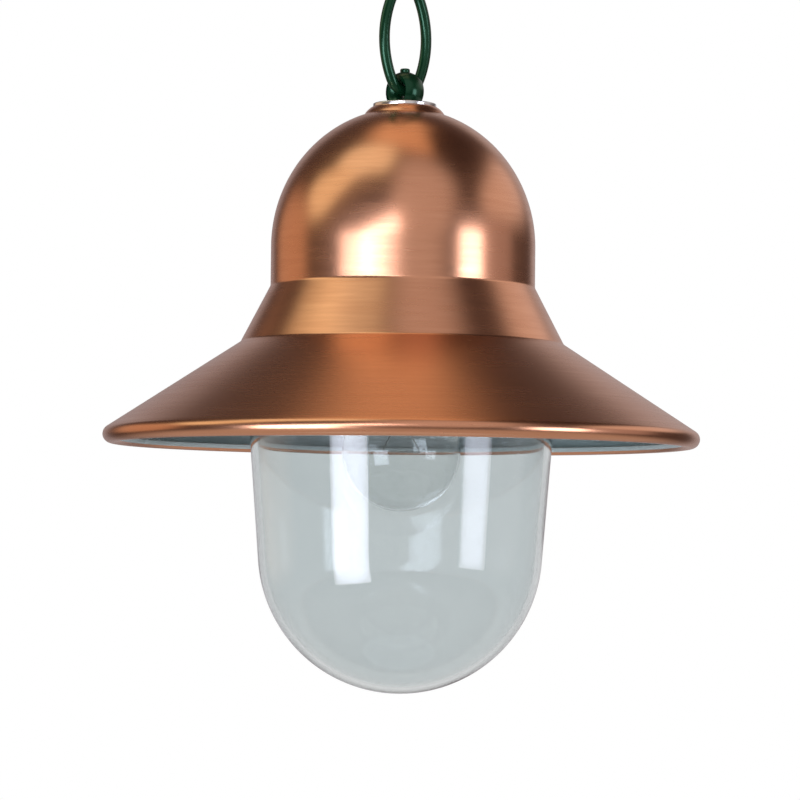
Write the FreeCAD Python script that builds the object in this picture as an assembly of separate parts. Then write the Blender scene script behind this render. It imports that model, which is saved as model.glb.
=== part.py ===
import FreeCAD, Part
import math
import os

from FreeCAD import Vector

# Outdoor hanging lamp, in millimetres, +Z up.
# Heights run from the underside of the shade's rim while the pieces are made.
# The finished pieces then move so that the origin is the hang point, the link's inner crown.

# Copper shade, spun from one sheet
SHEET = 1.0
RIM_DIA = 300.0
CURL_DIA = 9.0
CURL_SWEEP = 227.0
BRIM_RISE = 51.7
BRIM_TOP_DIA = 163.0
BAND_RISE = 28.6
DOME_DIA = 133.4
DOME_WALL = 23.8
CREASE_RADIUS = 3.0
BOSS_FOOT_DIA = 40.0
BOSS_DIA = 33.4
BOSS_RISE = 3.6
BOSS_HOLLOW = 0.7

# Cable grommet in the back of the dome
GROMMET_LEAN = 26.0
GROMMET_BORE = 6.5
GROMMET_WALL = 1.75
GROMMET_FLANGE = 2.0
GROMMET_LIP = 2.2

# Cap washer and the seal in its underside
WASHER_DIA = 32.0
WASHER_THICKNESS = 2.0
WASHER_EDGE = 0.5
SEAL_DIA = 22.0
SEAL_THICKNESS = 0.8

# Ball eye with its threaded shank
SHANK_DIA = 8.0
EYE_BALL_DIA = 20.2
EYE_SEAT = 6.2
EYE_HOLE_DIA = 7.0
EYE_FLARE_RADIUS = 4.8
EYE_NUB_DIA = 5.0
EYE_NUB_RISE = 1.6
SHANK_SPARE = 3.0

# Chain link
LINK_WIRE = 5.5
LINK_WIDTH = 26.75
LINK_HEIGHT = 53.0
LINK_END_RADIUS = 9.5

# Spacer between the crown and the lamp housing
SPACER_DIA = 14.0
SPACER_LENGTH = 45.0

# Lamp housing: a can with a wide threaded skirt for the glass
CAN_WALL = 2.0
CAN_DIA = 104.0
CAN_HEIGHT = 77.0
SKIRT_DROP = 30.0
CAN_BEND = 3.0

# Clamping stack on the shank, inside the housing
CLAMP_WASHER_DIA = 24.0
CLAMP_WASHER_THICKNESS = 1.6
LOCK_WASHER_DIA = 14.0
LOCK_WASHER_THICKNESS = 2.0
LOCK_WASHER_SPLIT = 1.2
NUT_ACROSS_FLATS = 13.0
NUT_HEIGHT = 6.5

# Small screws and nuts
SCREW_DIA = 4.0
SCREW_HEAD_DIA = 7.6
SCREW_HEAD_HEIGHT = 2.8
SCREW_HEAD_DOME = 1.2
SCREW_SPARE = 1.5
SMALL_NUT_FLATS = 7.0
SMALL_NUT_HEIGHT = 3.2
PIN_SCREW_DIA = 3.0
PIN_HEAD_DIA = 5.0
PIN_HEAD_HEIGHT = 1.8
PIN_HEAD_DOME = 0.7

# Strap that carries the lampholder
STRAP_SHEET = 2.0
STRAP_WIDTH = 16.0
STRAP_SPAN = 48.0
STRAP_DROP = 35.0
STRAP_FLANGE = 14.0
STRAP_BEND = 2.0

# Porcelain lampholder
HOLDER_DIA = 42.0
HOLDER_HEIGHT = 40.0
HOLDER_ROOF = 11.5
HOLDER_MOUTH_ROUND = 2.0
HOLDER_SCREW_SPAN = 20.0
HOLDER_SCREW_DEPTH = 7.0
SHELL_SHEET = 0.6
SHELL_LENGTH = 23.0
CONTACT_SHEET = 0.6
CONTACT_WIDTH = 6.0
CONTACT_HEIGHT = 2.5
CONTACT_FOOT = 6.0
CONTACT_TONGUE = 5.0
CONTACT_SLOPE = 2.5

# Wiring: terminal block, lampholder terminals and leads
BLOCK_LENGTH = 32.0
BLOCK_WIDTH = 16.0
BLOCK_HEIGHT = 16.0
BLOCK_OFFSET = 33.0
BLOCK_EDGE = 1.5
POLE_SPACING = 18.0
POLE_SCREW_GAP = 8.0
CLAMP_LENGTH = 7.0
CLAMP_WIDTH = 7.0
CLAMP_HEIGHT = 7.0
CLAMP_OFFSET = 12.6
LEAD_DIA = 2.6
LEAD_BEND = 8.0
LEAD_GRIP = 4.0
EARTH_RADIUS = 34.0
EARTH_ANGLE = 40.0
TAG_DIA = 9.0
TAG_TONGUE = 12.0
TAG_SHEET = 0.8

# Screw-in glass dome and its gasket
GLASS_WALL = 3.5
GLASS_HEIGHT = 168.5
GLASS_BALL_DIA = 143.0
GLASS_TAPER = 4.5
GLASS_SHOULDER_RADIUS = 7.0
NECK_DIA = 122.0
NECK_LENGTH = 30.0
NECK_FILLET = 4.0
GASKET_THICKNESS = 2.0
GASKET_OVERHANG = 1.5

# Clear screw bulb
BULB_LENGTH = 105.0
BULB_DIA = 60.0
BULB_WALL = 0.8
BULB_NECK_DIA = 24.0
BULB_WAIST_RADIUS = 30.0
CAP_DIA = 26.0
CAP_SHEET = 0.6
CAP_LENGTH = 19.5
CAP_BEND = 2.0
CAP_LAP = 6.0
INSULATOR_DIA = 20.0
INSULATOR_HEIGHT = 4.0
TIP_DIA = 9.2
TIP_HEIGHT = 2.5
STEM_DIA = 5.0
STEM_GAP = 20.0
STEM_FLARE = 14.0
FILAMENT_WIRE = 0.7
FILAMENT_SPAN = 24.0
FILAMENT_PAIR = 2.4
FILAMENT_BEND = 1.5
FILAMENT_STUB = 3.0

# Clearances
RUNNING_GAP = 0.3
SHANK_GAP = 0.3
THREAD_GAP = 0.05
SEAT_GAP = 0.1
BULB_GAP = 0.4
GLASS_GAP = 1.5

# Stack of heights, from the rim up to the hang point
RIM_R = RIM_DIA / 2
CURL_R = CURL_DIA / 2
DOME_R = DOME_DIA / 2
BAND_TOP = BRIM_RISE + BAND_RISE
DOME_CENTRE = BAND_TOP + DOME_WALL
BOSS_FOOT = DOME_CENTRE + math.sqrt(DOME_R ** 2 - (BOSS_FOOT_DIA / 2) ** 2)
CROWN = BOSS_FOOT + BOSS_RISE
WASHER_TOP = CROWN + WASHER_THICKNESS
EYE_CENTRE = WASHER_TOP + EYE_SEAT
EYE_HOLE_R = EYE_HOLE_DIA / 2
LINK_BOTTOM = EYE_CENTRE + EYE_HOLE_R - LINK_WIRE / 2 - RUNNING_GAP
LINK_CENTRE = LINK_BOTTOM + LINK_HEIGHT / 2
HANG_POINT = LINK_BOTTOM + LINK_HEIGHT - LINK_WIRE / 2

# Stack of heights, from the crown down into the housing
SHANK_R = SHANK_DIA / 2
SHANK_HOLE_R = SHANK_R + SHANK_GAP
CAN_TOP = CROWN - SHEET - SPACER_LENGTH
CAN_ROOF = CAN_TOP - CAN_WALL
CLAMP_LOW = CAN_ROOF - CLAMP_WASHER_THICKNESS
LOCK_LOW = CLAMP_LOW - LOCK_WASHER_THICKNESS
NUT_LOW = LOCK_LOW - NUT_HEIGHT
SHANK_END = NUT_LOW - SHANK_SPARE
SHELF_TOP = CAN_TOP - CAN_HEIGHT
SHELF = SHELF_TOP - CAN_WALL
NECK_TOP = SHELF - GASKET_THICKNESS
WEB_TOP = CAN_ROOF - STRAP_DROP
HOLDER_TOP = WEB_TOP - STRAP_SHEET
HOLDER_MOUTH = HOLDER_TOP - HOLDER_HEIGHT
CAVITY_ROOF = HOLDER_TOP - HOLDER_ROOF
BULB_TOP = CAVITY_ROOF - CONTACT_HEIGHT
TIP_LOW = BULB_TOP - TIP_HEIGHT
CAP_TOP = TIP_LOW - INSULATOR_HEIGHT
CAP_LOW = CAP_TOP - CAP_LENGTH
BULB_CENTRE = BULB_TOP - BULB_LENGTH + BULB_DIA / 2

# Shared places in the housing
SKIRT_DIA = NECK_DIA + 2 * (GLASS_GAP + CAN_WALL)
SHELL_R = CAP_DIA / 2 + BULB_GAP
CAVITY_R = SHELL_R + SHELL_SHEET + SEAT_GAP
FLANGE_SCREW_X = STRAP_SPAN / 2 + STRAP_FLANGE / 2
HOLDER_SCREW_X = HOLDER_SCREW_SPAN / 2
POLE_X = POLE_SPACING / 2
BLOCK_LOW = CAN_ROOF - BLOCK_HEIGHT
BLOCK_MIDDLE = CAN_ROOF - BLOCK_HEIGHT / 2
BLOCK_FACE = BLOCK_OFFSET - BLOCK_WIDTH / 2
CLAMP_TOP = HOLDER_TOP + CLAMP_HEIGHT
EARTH_X = EARTH_RADIUS * math.cos(math.radians(EARTH_ANGLE))
EARTH_Y = EARTH_RADIUS * math.sin(math.radians(EARTH_ANGLE))

ORIGIN = Vector(0, 0, 0)
UP = Vector(0, 0, 1)


# Helpers for sections and solids

def at(r, z):
    """A point of a section in the XZ plane."""
    return Vector(r, 0, z)


def line(start, end):
    return Part.LineSegment(start, end).toShape()


def arc(centre, radius, start, end):
    """An arc in the XZ plane between two angles in degrees, counted from +X towards +Z."""
    points = []
    for angle in (start, (start + end) / 2, end):
        turn = math.radians(angle)
        points.append(centre + at(radius * math.cos(turn), radius * math.sin(turn)))
    return Part.Arc(*points).toShape()


def rounded_line(points, radii):
    """Edges through the points, with each inner corner rounded by its own radius."""
    edges = []
    start = points[0]
    for before, corner, after, radius in zip(points, points[1:], points[2:], radii):
        inward = (before - corner).normalize()
        onward = (after - corner).normalize()
        half = inward.getAngle(onward) / 2
        reach = radius / math.tan(half)
        middle = corner + (inward + onward).normalize() * (radius / math.sin(half) - radius)
        first = corner + inward * reach
        last = corner + onward * reach
        edges.append(line(start, first))
        edges.append(Part.Arc(first, middle, last).toShape())
        start = last
    edges.append(line(start, points[-1]))
    return edges


def outward(solid):
    """The solid with its faces pointing out."""
    if solid.Volume < 0:
        solid.reverse()
    return solid


def spin(section):
    """A full turn of a section about the lamp's axis."""
    return outward(section.revolve(ORIGIN, UP, 360))


def spin_points(*points):
    """A full turn of a straight-edged section given as (radius, height) pairs."""
    corners = [at(r, z) for r, z in points]
    return spin(Part.Face(Part.makePolygon(corners + corners[:1])))


def sheet_section(edges, thickness):
    """A strip of even thickness on the inner side of a line of edges that runs out and down."""
    return Part.Wire(edges).makeOffset2D(-thickness, 0, True, True, False)


def ring(inner, outer, low, high):
    return spin_points((inner, low), (outer, low), (outer, high), (inner, high))


def rod(radius, low, high, x=0.0, y=0.0):
    return Part.makeCylinder(radius, high - low, Vector(x, y, low), UP)


def block(x, y, z, length, width, height):
    """A box by the middle of its underside."""
    return Part.makeBox(length, width, height, Vector(x - length / 2, y - width / 2, z))


def nut(flats, height, bore, low, x=0.0, y=0.0):
    """A hexagon nut with both faces chamfered."""
    corner_r = flats / math.sqrt(3)
    drop = (corner_r - flats / 2) * math.tan(math.radians(30))
    corners = [Vector(corner_r, 0, 0)]
    for step in range(1, 7):
        turn = math.radians(60 * step)
        corners.append(Vector(corner_r * math.cos(turn), corner_r * math.sin(turn), 0))
    prism = Part.Face(Part.makePolygon(corners)).extrude(UP * height)
    turned = spin_points(
        (bore, 0), (flats / 2, 0), (corner_r, drop),
        (corner_r, height - drop), (flats / 2, height), (bore, height),
    )
    solid = prism.common(turned).Solids[0]
    solid.translate(Vector(x, y, low))
    return solid


def screw(dia, head_dia, head_height, dome, length):
    """A round-headed screw, pointing up from the underside of its head at height zero."""
    head_r = head_dia / 2
    dome_r = (head_r ** 2 + dome ** 2) / (2 * dome)
    dome_centre = at(0, dome_r - head_height)
    rim = math.degrees(math.asin(head_r / dome_r)) - 90
    section = Part.Wire([
        line(at(0, length), at(dia / 2, length)),
        line(at(dia / 2, length), at(dia / 2, 0)),
        line(at(dia / 2, 0), at(head_r, 0)),
        line(at(head_r, 0), at(head_r, dome - head_height)),
        arc(dome_centre, dome_r, rim, -90),
        line(at(0, -head_height), at(0, length)),
    ])
    return spin(Part.Face(section))


def housing_screw(length):
    return screw(SCREW_DIA, SCREW_HEAD_DIA, SCREW_HEAD_HEIGHT, SCREW_HEAD_DOME, length)


def pin_screw(length):
    return screw(PIN_SCREW_DIA, PIN_HEAD_DIA, PIN_HEAD_HEIGHT, PIN_HEAD_DOME, length)


def placed(solid, x, y, z):
    moved = solid.copy()
    moved.translate(Vector(x, y, z))
    return moved


def sweep(edges, radius, direction):
    """A round wire along a line of edges that sets off in the given direction."""
    path = Part.Wire(edges)
    start = path.OrderedVertexes[0].Point
    profile = Part.Wire(Part.makeCircle(radius, start, direction))
    return outward(path.makePipeShell([profile], True, False))


# Hanger

def make_chain_link():
    """An oval link of four arcs in the XZ plane."""
    half_width = LINK_WIDTH / 2
    half_height = LINK_HEIGHT / 2
    reach = half_height - LINK_END_RADIUS
    side_r = (half_width ** 2 + half_height ** 2 - 2 * half_height * LINK_END_RADIUS) / (
        2 * (half_width - LINK_END_RADIUS)
    )
    lean = math.degrees(math.atan2(reach, side_r - half_width))
    edges = [
        arc(at(0, LINK_CENTRE + reach), LINK_END_RADIUS, lean, 180 - lean),
        arc(at(side_r - half_width, LINK_CENTRE), side_r, 180 - lean, 180 + lean),
        arc(at(0, LINK_CENTRE - reach), LINK_END_RADIUS, 180 + lean, 360 - lean),
        arc(at(half_width - side_r, LINK_CENTRE), side_r, -lean, lean),
    ]
    away = math.radians(lean + 90)
    return sweep(edges, LINK_WIRE / 2, at(math.cos(away), math.sin(away)))


def make_eye_bolt():
    """A ball with a flared hole along X, flat on the washer, and a shank below it."""
    ball_r = EYE_BALL_DIA / 2
    ball = Part.makeSphere(ball_r, at(0, EYE_CENTRE))
    nub_low = EYE_CENTRE + EYE_HOLE_R + RUNNING_GAP
    nub = rod(EYE_NUB_DIA / 2, nub_low, EYE_CENTRE + ball_r + EYE_NUB_RISE)
    nub = nub.makeFillet(EYE_NUB_RISE / 2, [nub.Edges[0]])
    flare_centre = EYE_CENTRE + EYE_HOLE_R + EYE_FLARE_RADIUS
    flare = EYE_FLARE_RADIUS
    section = Part.Wire([
        line(at(-ball_r, EYE_CENTRE), at(ball_r, EYE_CENTRE)),
        line(at(ball_r, EYE_CENTRE), at(ball_r, flare_centre)),
        line(at(ball_r, flare_centre), at(flare, flare_centre)),
        arc(at(0, flare_centre), flare, 0, -180),
        line(at(-flare, flare_centre), at(-ball_r, flare_centre)),
        line(at(-ball_r, flare_centre), at(-ball_r, EYE_CENTRE)),
    ])
    hole = Part.Face(section).revolve(at(0, EYE_CENTRE), Vector(1, 0, 0), 360)
    below = rod(EYE_BALL_DIA, WASHER_TOP - EYE_BALL_DIA, WASHER_TOP)
    eye = ball.fuse(nub).cut(outward(hole)).cut(below)
    shank = rod(SHANK_R, SHANK_END, WASHER_TOP)
    return eye.fuse(shank).removeSplitter().Solids[0]


def make_cap_washer():
    """A bright disc with rounded edges and a recess below for the seal."""
    disc = spin(Part.Face(Part.Wire([
        *rounded_line(
            [at(SHANK_HOLE_R, CROWN), at(WASHER_DIA / 2, CROWN),
             at(WASHER_DIA / 2, WASHER_TOP), at(SHANK_HOLE_R, WASHER_TOP)],
            [WASHER_EDGE, WASHER_EDGE],
        ),
        line(at(SHANK_HOLE_R, WASHER_TOP), at(SHANK_HOLE_R, CROWN)),
    ])))
    return disc.cut(rod(SEAL_DIA / 2 + SEAT_GAP, CROWN, CROWN + SEAL_THICKNESS))


def make_washer_seal():
    return ring(SHANK_R + SEAT_GAP, SEAL_DIA / 2, CROWN, CROWN + SEAL_THICKNESS)


# Shade

def grommet_axis():
    """The direction from the dome's centre out through the grommet, leaning to the back."""
    lean = math.radians(GROMMET_LEAN)
    return Vector(0, math.sin(lean), math.cos(lean))


def grommet_rod(radius, start, end):
    """A round bar on the grommet's axis, between two distances from the dome's centre."""
    axis = grommet_axis()
    return Part.makeCylinder(radius, end - start, at(0, DOME_CENTRE) + axis * start, axis)


def grommet_neck_r():
    return GROMMET_BORE / 2 + GROMMET_WALL


def make_shade():
    """One spun sheet: boss, dome, straight wall, band, brim and inward curled rim."""
    crease = at(BRIM_TOP_DIA / 2, BRIM_RISE)
    wall_foot = at(DOME_R, BAND_TOP)
    curl_centre = at(RIM_R - CURL_R, CURL_R)
    to_curl = curl_centre - crease
    dip = math.atan2(-to_curl.z, to_curl.x) - math.asin(CURL_R / to_curl.Length)
    meet = 90 - math.degrees(dip)
    curl = arc(curl_centre, CURL_R, meet, meet - CURL_SWEEP)
    foot_angle = math.degrees(math.acos(BOSS_FOOT_DIA / DOME_DIA))
    boss_edge = at(BOSS_DIA / 2, CROWN)
    boss_foot = at(BOSS_FOOT_DIA / 2, BOSS_FOOT)
    flank = boss_foot - boss_edge
    hollow = (boss_edge + boss_foot) * 0.5 + at(flank.z, -flank.x).normalize() * BOSS_HOLLOW
    edges = [
        line(at(SHANK_HOLE_R, CROWN), boss_edge),
        Part.Arc(boss_edge, hollow, boss_foot).toShape(),
        arc(at(0, DOME_CENTRE), DOME_R, foot_angle, 0),
        *rounded_line(
            [at(DOME_R, DOME_CENTRE), wall_foot, crease, curl.Vertexes[0].Point],
            [CREASE_RADIUS, CREASE_RADIUS],
        ),
        curl,
    ]
    shade = spin(sheet_section(edges, SHEET))
    return shade.cut(grommet_rod(grommet_neck_r() + SEAT_GAP, DOME_R / 2, DOME_DIA))


def make_cable_grommet():
    """A rubber bush whose two flanges follow the dome's sheet."""
    flange_r = grommet_neck_r() + GROMMET_FLANGE
    inner_r = DOME_R - SHEET
    outer_flange = grommet_rod(flange_r, inner_r - GROMMET_LIP, DOME_R + GROMMET_LIP)
    outer_flange = outer_flange.cut(Part.makeSphere(DOME_R, at(0, DOME_CENTRE)))
    inner_flange = grommet_rod(flange_r, inner_r - 2 * GROMMET_LIP, DOME_R)
    inner_flange = inner_flange.common(Part.makeSphere(inner_r, at(0, DOME_CENTRE)))
    neck = grommet_rod(grommet_neck_r(), inner_r - GROMMET_LIP, DOME_R + GROMMET_LIP)
    bore = grommet_rod(GROMMET_BORE / 2, DOME_R / 2, DOME_DIA)
    return neck.fuse([outer_flange, inner_flange]).cut(bore).removeSplitter().Solids[0]


# Housing and the stack that clamps it

def make_spacer_tube():
    return ring(SHANK_HOLE_R, SPACER_DIA / 2, CAN_TOP, CROWN - SHEET)


def cable_hole_place():
    """The housing's cable hole, straight below the grommet in the dome."""
    return DOME_R * math.sin(math.radians(GROMMET_LEAN))


def make_lamp_housing():
    """A drawn can that widens at a shelf into the skirt that holds the glass."""
    edges = rounded_line(
        [at(SHANK_HOLE_R, CAN_TOP), at(CAN_DIA / 2, CAN_TOP), at(CAN_DIA / 2, SHELF_TOP),
         at(SKIRT_DIA / 2, SHELF_TOP), at(SKIRT_DIA / 2, SHELF_TOP - SKIRT_DROP)],
        [CAN_BEND, CAN_BEND, CAN_BEND],
    )
    can = spin(sheet_section(edges, CAN_WALL))
    screw_hole = SCREW_DIA / 2 + SEAT_GAP
    holes = [
        rod(grommet_neck_r() + SEAT_GAP, CAN_ROOF, CAN_TOP, 0, cable_hole_place()),
        rod(screw_hole, CAN_ROOF, CAN_TOP, FLANGE_SCREW_X, 0),
        rod(screw_hole, CAN_ROOF, CAN_TOP, -FLANGE_SCREW_X, 0),
        rod(screw_hole, CAN_ROOF, CAN_TOP, EARTH_X, EARTH_Y),
        rod(PIN_SCREW_DIA / 2 + THREAD_GAP, CAN_ROOF, CAN_TOP, 0, -BLOCK_OFFSET),
    ]
    return can.cut(holes).Solids[0]


def make_housing_grommet():
    neck = grommet_neck_r()
    flange = neck + GROMMET_FLANGE
    bush = spin_points(
        (GROMMET_BORE / 2, CAN_ROOF - GROMMET_LIP), (flange, CAN_ROOF - GROMMET_LIP),
        (flange, CAN_ROOF), (neck, CAN_ROOF), (neck, CAN_TOP), (flange, CAN_TOP),
        (flange, CAN_TOP + GROMMET_LIP), (GROMMET_BORE / 2, CAN_TOP + GROMMET_LIP),
    )
    return placed(bush, 0, cable_hole_place(), 0)


def make_clamp_washer():
    return ring(SHANK_HOLE_R, CLAMP_WASHER_DIA / 2, CLAMP_LOW, CAN_ROOF)


def make_lock_washer():
    """A spring washer, split on one side."""
    washer = ring(SHANK_HOLE_R, LOCK_WASHER_DIA / 2, LOCK_LOW, CLAMP_LOW)
    reach = LOCK_WASHER_DIA
    split = block(reach / 2, 0, LOCK_LOW, reach, LOCK_WASHER_SPLIT, LOCK_WASHER_THICKNESS)
    return washer.cut(split)


def make_clamp_nut():
    return nut(NUT_ACROSS_FLATS, NUT_HEIGHT, SHANK_R + THREAD_GAP, NUT_LOW)


# Strap and lampholder

def make_holder_strap():
    """A folded strap: two flanges under the can's roof, two legs and a web."""
    inner_x = STRAP_SPAN / 2 - STRAP_SHEET
    flange_end = STRAP_SPAN / 2 + STRAP_FLANGE
    outer_bend = STRAP_BEND + STRAP_SHEET
    edges = rounded_line(
        [at(-flange_end, CAN_ROOF), at(-inner_x, CAN_ROOF), at(-inner_x, WEB_TOP),
         at(inner_x, WEB_TOP), at(inner_x, CAN_ROOF), at(flange_end, CAN_ROOF)],
        [outer_bend, STRAP_BEND, STRAP_BEND, outer_bend],
    )
    strap = sheet_section(edges, STRAP_SHEET).extrude(Vector(0, STRAP_WIDTH, 0))
    strap.translate(Vector(0, -STRAP_WIDTH / 2, 0))
    hole_r = SCREW_DIA / 2 + SEAT_GAP
    holes = []
    for side in (-1, 1):
        holes.append(rod(hole_r, CAN_ROOF - STRAP_SHEET, CAN_ROOF, side * FLANGE_SCREW_X, 0))
        holes.append(rod(hole_r, HOLDER_TOP, WEB_TOP, side * HOLDER_SCREW_X, 0))
    return outward(strap.cut(holes).Solids[0])


def make_strap_screws():
    length = STRAP_SHEET + CAN_WALL + SMALL_NUT_HEIGHT + SCREW_SPARE
    one = housing_screw(length)
    low = CAN_ROOF - STRAP_SHEET
    return Part.makeCompound([placed(one, side * FLANGE_SCREW_X, 0, low) for side in (-1, 1)])


def make_strap_nuts():
    bore = SCREW_DIA / 2 + THREAD_GAP
    one = nut(SMALL_NUT_FLATS, SMALL_NUT_HEIGHT, bore, CAN_TOP)
    return Part.makeCompound([placed(one, side * FLANGE_SCREW_X, 0, 0) for side in (-1, 1)])


def make_lampholder_body():
    """A porcelain body with a deep cavity, a rounded mouth and a bevelled top."""
    outer_r = HOLDER_DIA / 2
    lip = HOLDER_MOUTH_ROUND
    section = Part.Wire([
        line(at(0, CAVITY_ROOF), at(0, HOLDER_TOP)),
        line(at(0, HOLDER_TOP), at(outer_r, HOLDER_TOP)),
        line(at(outer_r, HOLDER_TOP), at(outer_r, HOLDER_MOUTH + lip)),
        arc(at(outer_r - lip, HOLDER_MOUTH + lip), lip, 0, -90),
        line(at(outer_r - lip, HOLDER_MOUTH), at(CAVITY_R, HOLDER_MOUTH)),
        line(at(CAVITY_R, HOLDER_MOUTH), at(CAVITY_R, CAVITY_ROOF)),
        line(at(CAVITY_R, CAVITY_ROOF), at(0, CAVITY_ROOF)),
    ])
    body = spin(Part.Face(section))
    low = HOLDER_TOP - HOLDER_SCREW_DEPTH - SEAT_GAP
    hole_r = SCREW_DIA / 2 + SEAT_GAP
    holes = [rod(hole_r, low, HOLDER_TOP, side * HOLDER_SCREW_X) for side in (-1, 1)]
    return body.cut(holes).Solids[0]


def make_lampholder_screws():
    one = housing_screw(STRAP_SHEET + HOLDER_SCREW_DEPTH)
    one.rotate(ORIGIN, Vector(1, 0, 0), 180)
    return Part.makeCompound([placed(one, side * HOLDER_SCREW_X, 0, WEB_TOP) for side in (-1, 1)])


def make_lampholder_shell():
    return ring(SHELL_R, SHELL_R + SHELL_SHEET, CAVITY_ROOF - SHELL_LENGTH, CAVITY_ROOF)


def make_lampholder_contact():
    """A brass tongue: its foot lies on the cavity's roof, its free end on the bulb's tip."""
    tongue_top = BULB_TOP + CONTACT_SHEET
    reach = CONTACT_TONGUE / 2
    edges = rounded_line(
        [at(-reach, tongue_top), at(reach, tongue_top), at(reach + CONTACT_SLOPE, CAVITY_ROOF),
         at(reach + CONTACT_SLOPE + CONTACT_FOOT, CAVITY_ROOF)],
        [CONTACT_SHEET, 2 * CONTACT_SHEET],
    )
    strip = sheet_section(edges, CONTACT_SHEET).extrude(Vector(0, CONTACT_WIDTH, 0))
    strip.translate(Vector(0, -CONTACT_WIDTH / 2, 0))
    return outward(strip)


# Wiring

def make_terminal_block():
    """A two-pole block with a wire hole through each pole and a fixing hole between them."""
    body = block(0, -BLOCK_OFFSET, BLOCK_LOW, BLOCK_LENGTH, BLOCK_WIDTH, BLOCK_HEIGHT)
    uprights = [edge for edge in body.Edges if abs(edge.tangentAt(edge.FirstParameter).z) > 0.9]
    body = body.makeFillet(BLOCK_EDGE, uprights)
    wire_r = LEAD_DIA / 2 + SEAT_GAP
    cuts = [rod(PIN_SCREW_DIA / 2 + SEAT_GAP, BLOCK_LOW, CAN_ROOF, 0, -BLOCK_OFFSET)]
    for side in (-1, 1):
        start = Vector(side * POLE_X, -BLOCK_OFFSET - BLOCK_WIDTH / 2, BLOCK_MIDDLE)
        cuts.append(Part.makeCylinder(wire_r, BLOCK_WIDTH, start, Vector(0, 1, 0)))
        for end in (-1, 1):
            y = -BLOCK_OFFSET + end * POLE_SCREW_GAP / 2
            cuts.append(rod(PIN_SCREW_DIA / 2 + THREAD_GAP, BLOCK_LOW, BLOCK_MIDDLE, side * POLE_X, y))
    return body.cut(cuts).Solids[0]


def make_terminal_screws():
    length = BLOCK_HEIGHT / 2 - LEAD_DIA / 2 - SEAT_GAP
    one = pin_screw(length)
    screws = []
    for side in (-1, 1):
        for end in (-1, 1):
            y = -BLOCK_OFFSET + end * POLE_SCREW_GAP / 2
            screws.append(placed(one, side * POLE_X, y, BLOCK_LOW))
    return Part.makeCompound(screws)


def make_terminal_block_screw():
    one = pin_screw(BLOCK_HEIGHT + CAN_WALL)
    return placed(one, 0, -BLOCK_OFFSET, BLOCK_LOW)


def make_lampholder_terminals():
    """Two brass clamps on top of the lampholder, each with a wire hole."""
    clamps = []
    for side in (-1, 1):
        x = side * POLE_X
        clamp = block(x, -CLAMP_OFFSET, HOLDER_TOP, CLAMP_LENGTH, CLAMP_WIDTH, CLAMP_HEIGHT)
        wire = rod(LEAD_DIA / 2 + SEAT_GAP, CLAMP_TOP - LEAD_GRIP, CLAMP_TOP, x, -CLAMP_OFFSET)
        clamps.append(clamp.cut(wire).Solids[0])
    return Part.makeCompound(clamps)


def make_lead(side):
    """An insulated lead from the terminal block's inner face down into its clamp."""
    x = side * POLE_X
    edges = rounded_line(
        [Vector(x, -BLOCK_FACE - LEAD_GRIP, BLOCK_MIDDLE), Vector(x, -CLAMP_OFFSET, BLOCK_MIDDLE),
         Vector(x, -CLAMP_OFFSET, CLAMP_TOP - LEAD_GRIP)],
        [LEAD_BEND],
    )
    return sweep(edges, LEAD_DIA / 2, Vector(0, 1, 0))


def make_earth_screw():
    length = TAG_SHEET + CAN_WALL + SMALL_NUT_HEIGHT + SCREW_SPARE
    one = housing_screw(length)
    return placed(one, EARTH_X, EARTH_Y, CAN_ROOF - TAG_SHEET)


def make_earth_tag():
    """A flat ring tag with a tongue along -X."""
    low = CAN_ROOF - TAG_SHEET
    tongue = Part.makeBox(
        TAG_TONGUE, TAG_DIA / 2, TAG_SHEET, Vector(-TAG_TONGUE, -TAG_DIA / 4, low)
    )
    tag = rod(TAG_DIA / 2, low, CAN_ROOF).fuse(tongue)
    tag = tag.cut(rod(SCREW_DIA / 2 + SEAT_GAP, low, CAN_ROOF)).removeSplitter().Solids[0]
    return placed(tag, EARTH_X, EARTH_Y, 0)


def make_earth_nut():
    return nut(SMALL_NUT_FLATS, SMALL_NUT_HEIGHT, SCREW_DIA / 2 + THREAD_GAP, CAN_TOP, EARTH_X, EARTH_Y)


# Glass and gasket

def make_glass_gasket():
    inner = NECK_DIA / 2 - GLASS_WALL - GASKET_OVERHANG
    return ring(inner, NECK_DIA / 2, NECK_TOP, SHELF)


def make_glass_dome():
    """A blown dome: round bottom, slightly widening wall, shoulder and neck."""
    ball_r = GLASS_BALL_DIA / 2
    taper = math.radians(GLASS_TAPER)
    ball_centre = NECK_TOP - GLASS_HEIGHT + ball_r
    shoulder = NECK_TOP - NECK_LENGTH
    shoulder_r = ball_r / math.cos(taper) + (shoulder - ball_centre) * math.tan(taper)
    bottom = arc(at(0, ball_centre), ball_r, -GLASS_TAPER, -90)
    edges = [
        *rounded_line(
            [at(NECK_DIA / 2, NECK_TOP), at(NECK_DIA / 2, shoulder), at(shoulder_r, shoulder),
             bottom.Vertexes[0].Point],
            [NECK_FILLET, GLASS_SHOULDER_RADIUS],
        ),
        bottom,
    ]
    return spin(sheet_section(edges, GLASS_WALL))


# Bulb

def make_bulb_envelope():
    """A clear round bulb that narrows through a waist into its neck."""
    ball_r = BULB_DIA / 2
    neck_r = BULB_NECK_DIA / 2
    waist_r = BULB_WAIST_RADIUS
    rise = math.sqrt((ball_r + waist_r) ** 2 - (neck_r + waist_r) ** 2)
    lean = math.degrees(math.atan2(rise, neck_r + waist_r))
    edges = [
        line(at(neck_r, CAP_LOW + CAP_LAP), at(neck_r, BULB_CENTRE + rise)),
        arc(at(neck_r + waist_r, BULB_CENTRE + rise), waist_r, 180, 180 + lean),
        arc(at(0, BULB_CENTRE), ball_r, lean, -90),
    ]
    return spin(sheet_section(edges, BULB_WALL))


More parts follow.
